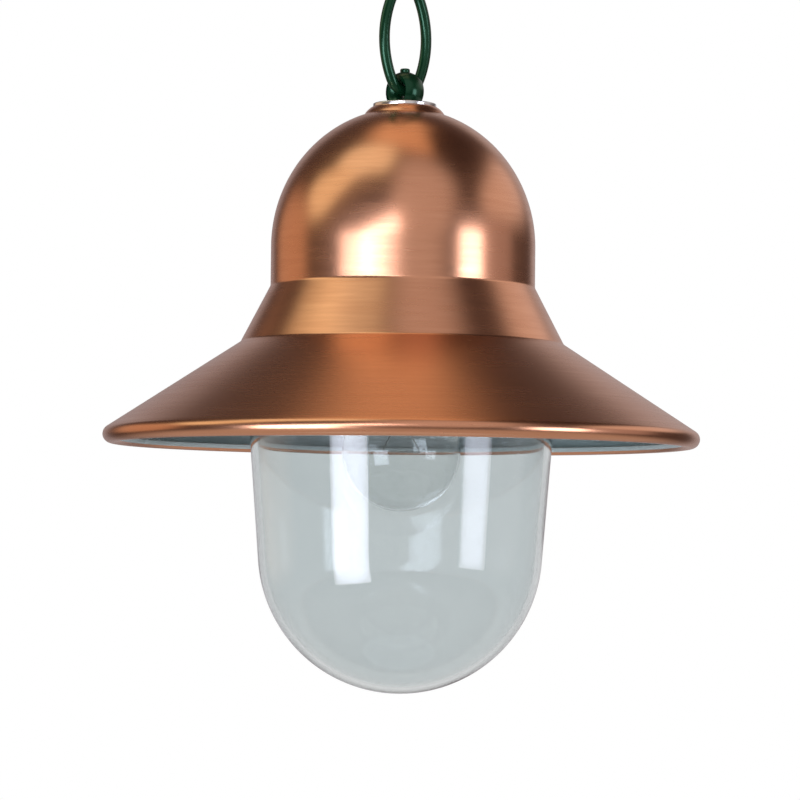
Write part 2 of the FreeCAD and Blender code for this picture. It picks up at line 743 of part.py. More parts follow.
def make_bulb_cap():
    """The screw cap's sheet: a tube turned in at the top."""
    cap_r = CAP_DIA / 2
    edges = rounded_line(
        [at(INSULATOR_DIA / 2 - CAP_BEND, CAP_TOP), at(cap_r, CAP_TOP), at(cap_r, CAP_LOW)],
        [CAP_BEND],
    )
    return spin(sheet_section(edges, CAP_SHEET))


def make_bulb_insulator():
    return spin_points(
        (0, CAP_TOP), (INSULATOR_DIA / 2, CAP_TOP), (TIP_DIA / 2 + CAP_SHEET, TIP_LOW), (0, TIP_LOW)
    )


def make_bulb_contact():
    return spin_points(
        (0, TIP_LOW), (TIP_DIA / 2, TIP_LOW), (TIP_DIA / 2 - TIP_HEIGHT / 3, BULB_TOP), (0, BULB_TOP)
    )


def make_bulb_stem():
    """A glass stem that flares out to close the envelope's neck."""
    stem_r = STEM_DIA / 2
    top = CAP_LOW + CAP_LAP
    flare_r = BULB_NECK_DIA / 2 - BULB_WALL - SEAT_GAP
    return spin_points(
        (0, BULB_CENTRE + STEM_GAP), (stem_r, BULB_CENTRE + STEM_GAP), (stem_r, top - STEM_FLARE),
        (flare_r, top), (0, top),
    )


def make_bulb_filament():
    """Two support wires from the stem and the filament strung between them."""
    stem_low = BULB_CENTRE + STEM_GAP
    pair = FILAMENT_PAIR / 2
    span = FILAMENT_SPAN / 2
    edges = rounded_line(
        [at(-pair, stem_low), at(-pair, stem_low - FILAMENT_STUB), at(-span, BULB_CENTRE),
         at(span, BULB_CENTRE), at(pair, stem_low - FILAMENT_STUB), at(pair, stem_low)],
        [FILAMENT_BEND] * 4,
    )
    return sweep(edges, FILAMENT_WIRE / 2, Vector(0, 0, -1))


PIECES = {
    "chain_link": make_chain_link(),
    "eye_bolt": make_eye_bolt(),
    "cap_washer": make_cap_washer(),
    "washer_seal": make_washer_seal(),
    "shade": make_shade(),
    "cable_grommet": make_cable_grommet(),
    "spacer_tube": make_spacer_tube(),
    "lamp_housing": make_lamp_housing(),
    "housing_grommet": make_housing_grommet(),
    "clamp_washer": make_clamp_washer(),
    "lock_washer": make_lock_washer(),
    "clamp_nut": make_clamp_nut(),
    "holder_strap": make_holder_strap(),
    "strap_screws": make_strap_screws(),
    "strap_nuts": make_strap_nuts(),
    "lampholder_body": make_lampholder_body(),
    "lampholder_screws": make_lampholder_screws(),
    "lampholder_shell": make_lampholder_shell(),
    "lampholder_contact": make_lampholder_contact(),
    "terminal_block": make_terminal_block(),
    "terminal_screws": make_terminal_screws(),
    "terminal_block_screw": make_terminal_block_screw(),
    "lampholder_terminals": make_lampholder_terminals(),
    "lead_live": make_lead(-1),
    "lead_neutral": make_lead(1),
    "earth_screw": make_earth_screw(),
    "earth_tag": make_earth_tag(),
    "earth_nut": make_earth_nut(),
    "glass_gasket": make_glass_gasket(),
    "glass_dome": make_glass_dome(),
    "bulb_envelope": make_bulb_envelope(),
    "bulb_cap": make_bulb_cap(),
    "bulb_insulator": make_bulb_insulator(),
    "bulb_contact": make_bulb_contact(),
    "bulb_stem": make_bulb_stem(),
    "bulb_filament": make_bulb_filament(),
}

os.makedirs("parts", exist_ok=True)
for name, piece in PIECES.items():
    piece.translate(at(0, -HANG_POINT))
    piece.exportStep(f"parts/{name}.step")
    box = piece.BoundBox
    print(f"{name}: {len(piece.Solids)} solid(s), {piece.Volume / 1000:.3f} cm3, "
          f"z {box.ZMin:.2f} to {box.ZMax:.2f}, width {box.XLength:.2f}, valid {piece.isValid()}")
print(f"hang point {HANG_POINT:.3f} above the rim")
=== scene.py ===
# %% [markdown]
# # Dressing an outdoor hanging lamp
# The lamp is a bell of spun copper that hangs from a green chain link. A clear glass dome screws
# into a housing under the bell, and a clear bulb sits in the glass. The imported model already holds
# every piece at its real size, so this lesson only gives the pieces their finish, and swaps a few
# of them for finer meshes of the same form.

# %% Load the frame
import math

import bmesh
import bpy
from mathutils import Matrix, Vector


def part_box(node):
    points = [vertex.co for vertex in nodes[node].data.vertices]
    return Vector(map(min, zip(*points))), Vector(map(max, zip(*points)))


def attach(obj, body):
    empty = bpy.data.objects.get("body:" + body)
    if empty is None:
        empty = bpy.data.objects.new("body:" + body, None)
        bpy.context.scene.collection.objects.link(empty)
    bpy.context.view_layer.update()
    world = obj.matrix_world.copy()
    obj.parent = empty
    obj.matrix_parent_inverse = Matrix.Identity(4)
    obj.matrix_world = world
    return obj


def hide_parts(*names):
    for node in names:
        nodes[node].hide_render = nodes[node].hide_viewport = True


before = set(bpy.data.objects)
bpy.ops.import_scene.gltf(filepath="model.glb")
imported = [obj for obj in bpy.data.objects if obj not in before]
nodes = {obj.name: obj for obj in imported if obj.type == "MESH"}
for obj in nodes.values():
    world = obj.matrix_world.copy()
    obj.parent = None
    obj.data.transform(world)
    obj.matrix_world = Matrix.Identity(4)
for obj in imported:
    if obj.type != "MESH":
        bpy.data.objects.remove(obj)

MM = 0.001
scene = bpy.context.scene
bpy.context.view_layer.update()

# %% [markdown]
# ## Camera
# The photograph was taken from a little below the rim with a long lens. The rim's ellipse, the
# creases and the far side of the curled edge give the eye level and the distance. The chain link is
# seen turned by 38 degrees, and that is the azimuth. The picture leans a little to the right.

# %% Camera at the photograph's angle
RIM_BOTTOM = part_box("shade")[0].z
PHOTO_AZIMUTH = math.radians(-38)
PHOTO_DISTANCE = 1768 * MM
EYE_BELOW_RIM = 59 * MM
AIM_ABOVE_RIM = 23.4 * MM
AIM_LEFT_OF_AXIS = 0.8 * MM
PICTURE_WIDTH = 402.7 * MM
PHOTO_ROLL = math.radians(0.6)
SENSOR = 36.0


def facing(direction, axis="-Z"):
    """The turn that points an object's axis along a direction."""
    return direction.to_track_quat(axis, "Y").to_matrix().to_4x4()


to_camera = Vector((math.sin(PHOTO_AZIMUTH), -math.cos(PHOTO_AZIMUTH), 0))
to_right = Vector((math.cos(PHOTO_AZIMUTH), math.sin(PHOTO_AZIMUTH), 0))
eye = to_camera * PHOTO_DISTANCE + Vector((0, 0, RIM_BOTTOM - EYE_BELOW_RIM))
aim = to_right * -AIM_LEFT_OF_AXIS + Vector((0, 0, RIM_BOTTOM + AIM_ABOVE_RIM))

camera_data = bpy.data.cameras.new("camera")
camera_data.sensor_width = SENSOR
camera_data.lens = SENSOR * PHOTO_DISTANCE / PICTURE_WIDTH
camera = bpy.data.objects.new("camera", camera_data)
camera.matrix_world = Matrix.Translation(eye) @ facing(aim - eye) @ Matrix.Rotation(PHOTO_ROLL, 4, "Z")
scene.collection.objects.link(camera)
scene.camera = camera
print(f"camera at {tuple(round(v, 3) for v in eye)}, lens {camera_data.lens:.1f} mm")

# %% [markdown]
# ## Node helpers
# Finishes and modelling rules are both nets of nodes in Blender. Wired by hand, a net takes a line
# for every node, every value and every link. These helpers do all of that in one call, so that the
# nets below read almost like sums. Two small nets that come up again have a helper as well: one tells
# which rays are looking, and one tells where on its object a spot lies.

# %% Node helpers
def add(tree, kind, settings=None, inputs=None):
    """A new node. An input that is given a socket is linked to it, and any other value is set."""
    node = tree.nodes.new(kind)
    for name, value in (settings or {}).items():
        setattr(node, name, value)
    for key, value in (inputs or {}).items():
        if isinstance(value, bpy.types.NodeSocket):
            tree.links.new(value, node.inputs[key])
        else:
            node.inputs[key].default_value = value
    return node


def calc(tree, operation, *values):
    """A Math node's result."""
    return add(tree, "ShaderNodeMath", {"operation": operation}, dict(enumerate(values))).outputs[0]


def rays(tree, *kinds):
    """1 for rays of the kinds that are named, and 0 for all others."""
    path = add(tree, "ShaderNodeLightPath").outputs
    seen = path[f"Is {kinds[0]} Ray"]
    for kind in kinds[1:]:
        seen = calc(tree, "MAXIMUM", seen, path[f"Is {kind} Ray"])
    return seen


def object_place(tree):
    """Where a spot lies on its object."""
    return add(tree, "ShaderNodeTexCoord").outputs["Object"]


# %% [markdown]
# ## Softboxes
# Polished and satin metal shows the room more than its own colour, so the lights are placed as
# they stand mirrored in the glass and the dome: a large softbox on the left of the camera, a leaning
# one close above it, and a third on the right. Each is an area light, given by the angles at which
# the lamp sees it, and like a real softbox it is brighter in the middle than at its edges.

# %% Light of a softbox
EDGE_FALL = 0.5
EDGE_POWER = 4.0


def hot_middle(tree):
    """How bright each spot of a softbox is: 1 in the middle, and less towards the edges."""
    spot = add(tree, "ShaderNodeNewGeometry").outputs["Parametric"]
    sides = add(tree, "ShaderNodeSeparateXYZ", {}, {"Vector": spot}).outputs
    edge = 0.0
    for side in ("X", "Y"):
        off = calc(tree, "ABSOLUTE", calc(tree, "MULTIPLY_ADD", sides[side], 2.0, -1.0))
        edge = calc(tree, "ADD", edge, calc(tree, "POWER", off, EDGE_POWER))
    return calc(tree, "MULTIPLY_ADD", calc(tree, "MINIMUM", edge, 1.0), -EDGE_FALL, 1.0)


# %% Softboxes
STUDIO_CENTRE = Vector((0, 0, RIM_BOTTOM + 40 * MM))
STUDIO_RADIUS = 2.3
SOFTBOX_COLOUR = (0.95, 0.97, 1.12)
# azimuth, elevation, width, height and tilt in degrees, then the brightness
SOFTBOXES = {
    "softbox_left": (-40, -11, 30, 32, 0, 8.0),
    "softbox_middle": (-20, 9, 38, 15, 30, 4.5),
    "softbox_right": (60, -1, 23, 27, 0, 5.2),
}


def studio_direction(azimuth, elevation):
    """The direction at two angles in degrees, counted from the camera's side and from level."""
    turn = math.radians(azimuth)
    rise = math.radians(elevation)
    level = to_camera * math.cos(turn) + to_right * math.sin(turn)
    return level * math.cos(rise) + Vector((0, 0, math.sin(rise)))


def seen_size(angle):
    """The size of a light that the lamp sees at an angle in degrees."""
    return 2 * STUDIO_RADIUS * math.tan(math.radians(angle / 2))


def softbox(name, azimuth, elevation, width, height, tilt, brightness):
    """A rectangular light that faces the lamp."""
    direction = studio_direction(azimuth, elevation)
    data = bpy.data.lights.new(name, "AREA")
    data.shape = "RECTANGLE"
    data.size = seen_size(width)
    data.size_y = seen_size(height)
    data.energy = brightness * math.pi * data.size * data.size_y
    data.color = SOFTBOX_COLOUR
    data.use_nodes = True
    tree = data.node_tree
    tree.links.new(hot_middle(tree), tree.nodes["Emission"].inputs["Strength"])
    light = bpy.data.objects.new(name, data)
    light.matrix_world = (Matrix.Translation(STUDIO_CENTRE + direction * STUDIO_RADIUS)
                          @ facing(-direction) @ Matrix.Rotation(math.radians(tilt), 4, "Z"))
    light.visible_camera = False
    scene.collection.objects.link(light)
    print(f"{name}: {data.size:.2f} x {data.size_y:.2f} m, {data.energy:.1f} W")


for name, values in SOFTBOXES.items():
    softbox(name, *values)

# %% [markdown]
# ## White behind the lamp
# The photograph has a plain white ground. A white sheet behind the lamp would show an edge as soon as
# the camera moves, so the world itself is white for all rays that look at it. As a light it is only
# about half as bright, which softens the shadows and leaves the modelling to the softboxes.

# %% World
ROOM_FILL = 0.55

world = bpy.data.worlds.new("studio")
world.use_nodes = True
scene.world = world
tree = world.node_tree
tree.nodes.clear()
sky = add(tree, "ShaderNodeMix", {"data_type": "RGBA"}, {
    "Factor": rays(tree, "Camera", "Transmission", "Glossy"),
    "A": (ROOM_FILL, ROOM_FILL, ROOM_FILL, 1), "B": (1, 1, 1, 1)})
background = add(tree, "ShaderNodeBackground", {}, {"Color": sky.outputs["Result"]})
add(tree, "ShaderNodeOutputWorld", {}, {"Surface": background.outputs["Background"]})
scene.view_settings.view_transform = "Standard"
print(f"white for the eye, for metal and for glass, {ROOM_FILL} as soft light")

# %% [markdown]
# ## Room
# A metal bell in an all-white room looks flat. A real studio has dark corners, lit walls and a warm
# ceiling, and the bell mirrors all of them. Here the room is one large sphere that only reflections
# see. It is dark cloth, paler below where the floor throws light back, with a few soft lit patches
# painted on it as a colour attribute. Each patch is given by the angles at which the lamp sees it,
# like the softboxes.

# %% Patches of the room
PATCH_ROUNDING = 3
PATCH_END = 1.25
PATCH_FADE = 0.5
# azimuth, elevation, half width, half height, tilt in degrees, then red, green and blue
PATCHES = {
    "ceiling": (150, 81, 22, 18, 0, (0.84, 0.57, 0.36)),
    "warm_wall_high": (-64, 62, 20, 15, 35, (1.18, 1.15, 0.88)),
    "warm_wall": (-80, 34, 20, 15, 25, (1.15, 1.08, 0.76)),
    "warm_wall_low": (-114, 6, 22, 20, 0, (0.62, 0.42, 0.29)),
    "front_wall": (18, 31, 25, 38, -13, (0.62, 0.56, 0.56)),
    "right_wall": (111, 27, 31, 13, 0, (0.78, 0.70, 0.68)),
    "right_wall_low": (88, 2, 19, 17, 0, (0.42, 0.35, 0.35)),
    "back_left": (-168, 10, 18, 26, 0, (0.40, 0.38, 0.40)),
    "back_right": (166, 10, 20, 28, 0, (0.48, 0.45, 0.46)),
    "dark_corner": (106, 62, 22, 14, 0, (0.040, 0.026, 0.024)),
    "dark_gap": (-60, 28, 7, 30, -33, (0.15, 0.11, 0.095)),
}


def limited(value):
    """The value, kept between 0 and 1."""
    return min(1.0, max(0.0, value))


def patch_share(direction, azimuth, elevation, half_width, half_height, tilt):
    """1 in the middle of a patch, and 0 beyond its soft edge."""
    centre = studio_direction(azimuth, elevation)
    ahead = direction.dot(centre)
    if ahead <= 0:
        return 0.0
    across = studio_direction(azimuth + 90, 0)
    up = centre.cross(across)
    u = math.degrees(math.atan2(direction.dot(across), ahead))
    w = math.degrees(math.atan2(direction.dot(up), ahead))
    lean = math.radians(tilt)
    along = abs(u * math.cos(lean) + w * math.sin(lean)) / half_width
    over = abs(w * math.cos(lean) - u * math.sin(lean)) / half_height
    reach = (along ** PATCH_ROUNDING + over ** PATCH_ROUNDING) ** (1 / PATCH_ROUNDING)
    return limited((PATCH_END - reach) / PATCH_FADE)


# %% Tent cloth
tent_cloth = bpy.data.materials.new("tent_cloth")
tent_cloth.use_nodes = True
tree = tent_cloth.node_tree
tree.nodes.clear()
paint = add(tree, "ShaderNodeAttribute", {"attribute_name": "room"}).outputs["Color"]
glow = add(tree, "ShaderNodeEmission", {}, {"Color": paint})
add(tree, "ShaderNodeOutputMaterial", {}, {"Surface": glow.outputs["Emission"]})
print("cloth that glows in the colours that are painted on it")


def stage_piece(name, mesh, material):
    """A mesh that belongs to the studio and not to the lamp."""
    mesh.materials.append(material)
    piece = bpy.data.objects.new(name, mesh)
    scene.collection.objects.link(piece)
    return piece


# %% Tent
ROOM_RADIUS = 2.8
TENT_STEPS = 60
DARK_CLOTH = (0.075, 0.054, 0.050)
FLOOR_GLOW = (0.50, 0.45, 0.42)
GLOW_STARTS = -0.3
GLOW_SPREAD = 0.3

ball = bmesh.new()
bmesh.ops.create_uvsphere(ball, u_segments=2 * TENT_STEPS, v_segments=TENT_STEPS, radius=ROOM_RADIUS)
tent_mesh = bpy.data.meshes.new("tent")
ball.to_mesh(tent_mesh)
ball.free()
room = tent_mesh.attributes.new("room", "FLOAT_COLOR", "POINT")
for vertex, spot in zip(tent_mesh.vertices, room.data):
    direction = vertex.co.normalized()
    below = limited((GLOW_STARTS - direction.z) / GLOW_SPREAD)
    colour = Vector(DARK_CLOTH).lerp(Vector(FLOOR_GLOW), below)
    for *angles, patch_colour in PATCHES.values():
        colour = colour.lerp(Vector(patch_colour), patch_share(direction, *angles))
    spot.color = (*colour, 1)
tent_mesh.transform(Matrix.Translation(STUDIO_CENTRE))
tent = stage_piece("tent", tent_mesh, tent_cloth)
tent.visible_camera = False
tent.visible_diffuse = False
tent.visible_transmission = False
tent.visible_shadow = False
print(f"room of {len(tent_mesh.vertices)} points with {len(PATCHES)} patches")

# %% [markdown]
# ## Floor
# A pale studio floor lies far below the lamp. It throws soft light up under the brim and stands
# mirrored there. One plane is enough. The eye sees it nearly white, and quite white towards its
# edges, so that no corner shows against the white world in a view from above.

# %% Floor paint
FLOOR_DROP = 2.6
FLOOR_SIZE = 14.0
FLOOR_COLOUR = (0.8, 0.8, 0.79, 1)
FLOOR_ROUGHNESS = 0.7
PALE = 0.85

floor_paint = bpy.data.materials.new("floor_paint")
floor_paint.use_nodes = True
tree = floor_paint.node_tree
matt = tree.nodes["Principled BSDF"]
matt.inputs["Base Color"].default_value = FLOOR_COLOUR
matt.inputs["Roughness"].default_value = FLOOR_ROUGHNESS
white = add(tree, "ShaderNodeEmission", {}, {"Color": (1, 1, 1, 1)})
away = add(tree, "ShaderNodeVectorMath", {"operation": "LENGTH"}, {0: object_place(tree)})
fade = add(tree, "ShaderNodeMapRange", {}, {
    "Value": away.outputs["Value"], "From Min": FLOOR_DROP, "From Max": FLOOR_SIZE / 2,
    "To Min": PALE, "To Max": 1.0})
pale = add(tree, "ShaderNodeMixShader", {}, {
    0: calc(tree, "MULTIPLY", rays(tree, "Camera", "Transmission"), fade.outputs["Result"]),
    1: matt.outputs["BSDF"], 2: white.outputs["Emission"]})
tree.links.new(pale.outputs["Shader"], tree.nodes["Material Output"].inputs["Surface"])
print(f"floor paint, {PALE} white below the lamp")

# %% Floor
half = FLOOR_SIZE / 2
level = RIM_BOTTOM - FLOOR_DROP
floor_mesh = bpy.data.meshes.new("floor")
floor_mesh.from_pydata(
    [(-half, -half, level), (half, -half, level), (half, half, level), (-half, half, level)],
    [], [(0, 1, 2, 3)])
stage_piece("floor", floor_mesh, floor_paint)
print(f"floor {FLOOR_DROP} m below the rim, fading to white at its edges")

# %% [markdown]
# ## Finishes
# Every finish starts from one Principled shader. A soft noise that is fixed to the object lets the
# colour and the gloss wander a little, as on any real surface, and a finer one gives the grain.
# On a spun or turned piece the grain runs in rings, so its noise reads only the distance from the
# axis and the height. Values that are the same all over are set on the shader's own sockets.

# %% Places for the noises
def axis_place(tree, place):
    """The way out from the axis, the distance from it and the height."""
    out = add(tree, "ShaderNodeVectorMath", {"operation": "MULTIPLY"}, {0: place, 1: (1, 1, 0)})
    out = out.outputs["Vector"]
    reach = add(tree, "ShaderNodeVectorMath", {"operation": "LENGTH"}, {0: out}).outputs["Value"]
    height = add(tree, "ShaderNodeSeparateXYZ", {}, {"Vector": place}).outputs["Z"]
    return out, reach, height


def ring_place(tree, place):
    """The distance from the axis and the height, so that a noise over it runs in rings."""
    _, reach, height = axis_place(tree, place)
    return add(tree, "ShaderNodeCombineXYZ", {}, {"X": reach, "Z": height}).outputs["Vector"]


def brush_place(tree, place, length):
    """Runs along a spun piece's outline and slowly round it, so that a noise over it draws hairlines."""
    out, reach, height = axis_place(tree, place)
    way = add(tree, "ShaderNodeVectorMath", {"operation": "NORMALIZE"}, {0: out}).outputs["Vector"]
    way = add(tree, "ShaderNodeSeparateXYZ", {}, {"Vector": way}).outputs
    return add(tree, "ShaderNodeCombineXYZ", {}, {
        "X": calc(tree, "MULTIPLY", way["X"], length), "Y": calc(tree, "MULTIPLY", way["Y"], length),
        "Z": calc(tree, "SUBTRACT", height, reach)}).outputs["Vector"]


# %% Finish helpers
def finish(name, **sockets):
    """A material and its main shader, with plain values on the sockets that are named."""
    material = bpy.data.materials.new(name)
    material.use_nodes = True
    shader = material.node_tree.nodes["Principled BSDF"]
    for socket, value in sockets.items():
        shader.inputs[socket.replace("_", " ")].default_value = value
    print(f"finish: {name}")
    return material, material.node_tree, shader


def noise(tree, place, scale, detail=3.0):
    """A noise from 0 to 1 that mostly stays near the middle."""
    return add(tree, "ShaderNodeTexNoise", {}, {
        "Vector": place, "Scale": scale, "Detail": detail}).outputs["Fac"]


# %% Wander and grain
NOISE_LOW = 0.3
NOISE_HIGH = 0.7


def wander(tree, shader, source, first, second, smooth, rough):
    """Colour and roughness go from one value to the other as the source noise rises."""
    share = add(tree, "ShaderNodeMapRange", {}, {
        "Value": source, "From Min": NOISE_LOW, "From Max": NOISE_HIGH}).outputs["Result"]
    colour = add(tree, "ShaderNodeMix", {"data_type": "RGBA"}, {
        "Factor": share, "A": (*first, 1), "B": (*second, 1)})
    tree.links.new(colour.outputs["Result"], shader.inputs["Base Color"])
    gloss = add(tree, "ShaderNodeMapRange", {}, {"Value": share, "To Min": smooth, "To Max": rough})
    tree.links.new(gloss.outputs["Result"], shader.inputs["Roughness"])


def grain(tree, shader, source, depth):
    """A bump of the given depth, in metres, that follows the source noise."""
    bump = add(tree, "ShaderNodeBump", {}, {"Height": source, "Distance": depth})
    tree.links.new(bump.outputs["Normal"], shader.inputs["Normal"])


def worn_finish(name, first, second, gloss, patches, fine, depth, in_rings=False, **sockets):
    """A finish that wanders with a coarse noise and has the grain of a fine one.

    The gloss is its smoothest and roughest value, and fine is the scale and the detail of the grain.
    """
    material, tree, shader = finish(name, **sockets)
    place = object_place(tree)
    if in_rings:
        place = ring_place(tree, place)
    wander(tree, shader, noise(tree, place, patches), first, second, *gloss)
    grain(tree, shader, noise(tree, place, *fine), depth)
    return material


# %% [markdown]
# ## Copper and its coat
# The bell is spun from copper sheet on a lathe, polished, brushed in rings and lacquered. The
# hairlines of the brush are noise that is drawn out round the axis: they change the colour and the
# gloss a little, and stand out by under a hundredth of a millimetre. They also draw a highlight across
# them, which is the shader's anisotropy, turned by a quarter. Inside, the sheet has a grey-green
# coat that is sprayed on, with the faint orange-peel skin that such a coat dries to.

# %% Copper
BRIGHT_COPPER = (0.80, 0.41, 0.245)
DULL_COPPER = (0.71, 0.335, 0.19)
HAIR_LENGTH = 0.006
HAIR_DEPTH = 0.000008

copper, tree, shader = finish(
    "copper", Metallic=1.0, Anisotropic=0.25, Anisotropic_Rotation=0.25,
    Coat_Weight=0.2, Coat_Roughness=0.28)
place = object_place(tree)
patches = noise(tree, place, 14.0)
hairlines = noise(tree, brush_place(tree, place, HAIR_LENGTH), 380.0, 4.0)
blend = calc(tree, "MULTIPLY", calc(tree, "ADD", patches, hairlines), 0.5)
wander(tree, shader, blend, BRIGHT_COPPER, DULL_COPPER, 0.22, 0.30)
grain(tree, shader, hairlines, HAIR_DEPTH)

# %% Coat inside the bell
coat = worn_finish(
    "inside_coat", (0.48, 0.53, 0.52), (0.43, 0.48, 0.475), gloss=(0.24, 0.34), patches=22.0,
    fine=(420.0, 1.0), depth=0.00004, Specular_IOR_Level=0.5)

# %% [markdown]
# ## Outlines
# A turned piece is one line that spins round the axis. The line is written in millimetres, as
# distance from the axis and height above the rim's underside. Straight runs and arcs are cut into
# short steps, and a sheet's second side is the same line moved inwards by its thickness.

# %% Lines and arcs
STEP = 2.5
CORNER_STEPS = 10
TOUCHING = 1e-4


def straight(start, end, step=STEP):
    """Points from start to end, no more than a step apart."""
    count = max(1, math.ceil(math.dist(start, end) / step))
    return [Vector(start).lerp(Vector(end), i / count) for i in range(count + 1)]


def arc(centre, radius, start, end, step=STEP):
    """Points on an arc about a centre, from one angle to the other in degrees."""
    count = max(CORNER_STEPS, math.ceil(math.radians(abs(end - start)) * radius / step))
    angles = [math.radians(start + (end - start) * i / count) for i in range(count + 1)]
    return [Vector((centre[0] + radius * math.cos(a), centre[1] + radius * math.sin(a))) for a in angles]


def bent(points, radii, step=STEP):
    """Straight runs through the points, with each inner corner rounded by its radius."""
    line = [Vector(points[0])]
    for corner, after, radius in zip(points[1:], points[2:], radii):
        corner = Vector(corner)
        back = (line[-1] - corner).normalized()
        ahead = (Vector(after) - corner).normalized()
        half = back.angle(ahead) / 2
        centre = corner + (back + ahead).normalized() * radius / math.sin(half)
        first = corner + back * radius / math.tan(half)
        last = corner + ahead * radius / math.tan(half)
        line += straight(line[-1], first, step)[1:]
        line += [centre + (first - centre).slerp(last - centre, i / CORNER_STEPS).normalized() * radius
                 for i in range(1, CORNER_STEPS + 1)]
    return line + straight(line[-1], points[-1], step)[1:]


def joined(*runs):
    """One line from several, without the points that repeat where two runs meet."""
    line = []
    for run in runs:
        line += [p for p in run if not line or (p - line[-1]).length > TOUCHING]
    return line


print(f"a quarter of a circle of 50 mm takes {len(arc((0, 0), 50, 90, 0))} points")


# %% Sheets and threads
def sheet(line, thickness):
    """A closed outline for a sheet: the line, then its inner side back to the start, then the start."""
    inner = []
    for i, p in enumerate(line):
        way = (line[min(i + 1, len(line) - 1)] - line[max(i - 1, 0)]).normalized()
        if p.x < TOUCHING:
            way = Vector((-1, 0))
        inner.append(p + Vector((way.y, -way.x)) * thickness)
    return [*line, *reversed(inner), line[0]], [0.0] * len(line) + [1.0] * len(line) + [0.0]


def ramp(value, low, high, ease):
    """1 between low and high, with an easy start and end."""
    return limited(min((value - low) / ease, (high - value) / ease))


# %% [markdown]
# ## The lathe
# A lathe can be a Screw or Spin tool, a curve with a profile, or a rule in Geometry Nodes. Nodes are
# the best fit here, because the same rule then turns the bell, the glass, the bulb and the rolled
# threads. The tree lays out a grid, one row for each outline point and one column for each step of
# the turn, and moves each grid point to its place. Where an outline point carries thread, its radius
# rises and falls once for each pitch of height, shifted by the turn, and that is a right-hand thread.

# %% Start and end of a tree
def new_tree(name, inputs):
    """An empty geometry tree with its named inputs, and a piece as what it gives."""
    tree = bpy.data.node_groups.new(name, "GeometryNodeTree")
    for label, kind in inputs.items():
        tree.interface.new_socket(label, in_out="INPUT", socket_type="NodeSocket" + kind)
    tree.interface.new_socket("Piece", in_out="OUTPUT", socket_type="NodeSocketGeometry")
    return tree, add(tree, "NodeGroupInput").outputs


def smooth_realized(tree, geometry):
    """Smooth shading, and no instances left, because the export drops them."""
    smooth = add(tree, "GeometryNodeSetShadeSmooth", {}, {"Geometry": geometry}).outputs[0]
    return add(tree, "GeometryNodeRealizeInstances", {}, {"Geometry": smooth}).outputs[0]


# %% Grid of a turned piece
def outline_grid(tree, outline, segments):
    """The grid, how far round each of its points lies, and a reader for values of the outline."""
    rows = add(tree, "GeometryNodeAttributeDomainSize", {"component": "MESH"}, {
        "Geometry": outline}).outputs["Point Count"]
    grid = add(tree, "GeometryNodeMeshGrid", {}, {
        "Vertices X": calc(tree, "ADD", segments, 1), "Vertices Y": rows}).outputs["Mesh"]
    index = add(tree, "GeometryNodeInputIndex").outputs["Index"]
    column = calc(tree, "FLOOR", calc(tree, "DIVIDE", index, rows))
    row = calc(tree, "SUBTRACT", index, calc(tree, "MULTIPLY", column, rows))

    def outline_value(kind, value):
        sample = add(tree, "GeometryNodeSampleIndex", {"data_type": kind, "domain": "POINT"}, {
            "Geometry": outline, "Value": value, "Index": row})
        return sample.outputs["Value"]

    return grid, calc(tree, "DIVIDE", column, segments), outline_value


def attribute(tree, name):
    """A number that each point carries under a name."""
    return add(tree, "GeometryNodeInputNamedAttribute", {"data_type": "FLOAT"}, {
        "Name": name}).outputs["Attribute"]


# %% Turning tree
SAME_SPOT = 1e-6
INSIDE_FROM = 0.6


def turning_tree():
    """The rule that turns an outline into a round piece, with a thread where the outline has one."""
    tree, given = new_tree("turned_piece", {
        "Outline": "Geometry", "Segments": "Int", "Pitch": "Float", "Depth": "Float",
        "Outside": "Material", "Inside": "Material"})
    grid, turn, outline_value = outline_grid(tree, given["Outline"], given["Segments"])
    place = outline_value("FLOAT_VECTOR", add(tree, "GeometryNodeInputPosition").outputs["Position"])
    place = add(tree, "ShaderNodeSeparateXYZ", {}, {"Vector": place}).outputs
    phase = calc(tree, "SUBTRACT", calc(tree, "DIVIDE", place["Z"], given["Pitch"]), turn)
    wave = calc(tree, "COSINE", calc(tree, "MULTIPLY", phase, 2 * math.pi))
    wave = calc(tree, "MULTIPLY_ADD", wave, 0.5, 0.5)
    height = calc(tree, "MULTIPLY", outline_value("FLOAT", attribute(tree, "thread")), given["Depth"])
    radius = calc(tree, "MULTIPLY_ADD", wave, height, place["X"])
    angle = calc(tree, "MULTIPLY", turn, 2 * math.pi)
    spot = add(tree, "ShaderNodeCombineXYZ", {}, {
        "X": calc(tree, "MULTIPLY", radius, calc(tree, "COSINE", angle)),
        "Y": calc(tree, "MULTIPLY", radius, calc(tree, "SINE", angle)),
        "Z": place["Z"]}).outputs["Vector"]

    piece = add(tree, "GeometryNodeStoreNamedAttribute", {"data_type": "FLOAT", "domain": "POINT"}, {
        "Geometry": grid, "Name": "inner", "Value": outline_value("FLOAT", attribute(tree, "inner"))})
    piece = add(tree, "GeometryNodeSetPosition", {}, {"Geometry": piece.outputs[0], "Position": spot})
    piece = add(tree, "GeometryNodeMergeByDistance", {}, {
        "Geometry": piece.outputs[0], "Distance": SAME_SPOT})
    piece = add(tree, "GeometryNodeSetMaterial", {}, {
        "Geometry": smooth_realized(tree, piece.outputs[0]), "Material": given["Outside"]})
    inside = calc(tree, "GREATER_THAN", attribute(tree, "inner"), INSIDE_FROM)
    piece = add(tree, "GeometryNodeSetMaterial", {}, {
        "Geometry": piece.outputs[0], "Selection": inside, "Material": given["Inside"]})
    add(tree, "NodeGroupOutput", {}, {"Piece": piece.outputs[0]})
    return tree


TURNING = turning_tree()
print(f"turning tree of {len(TURNING.nodes)} nodes")

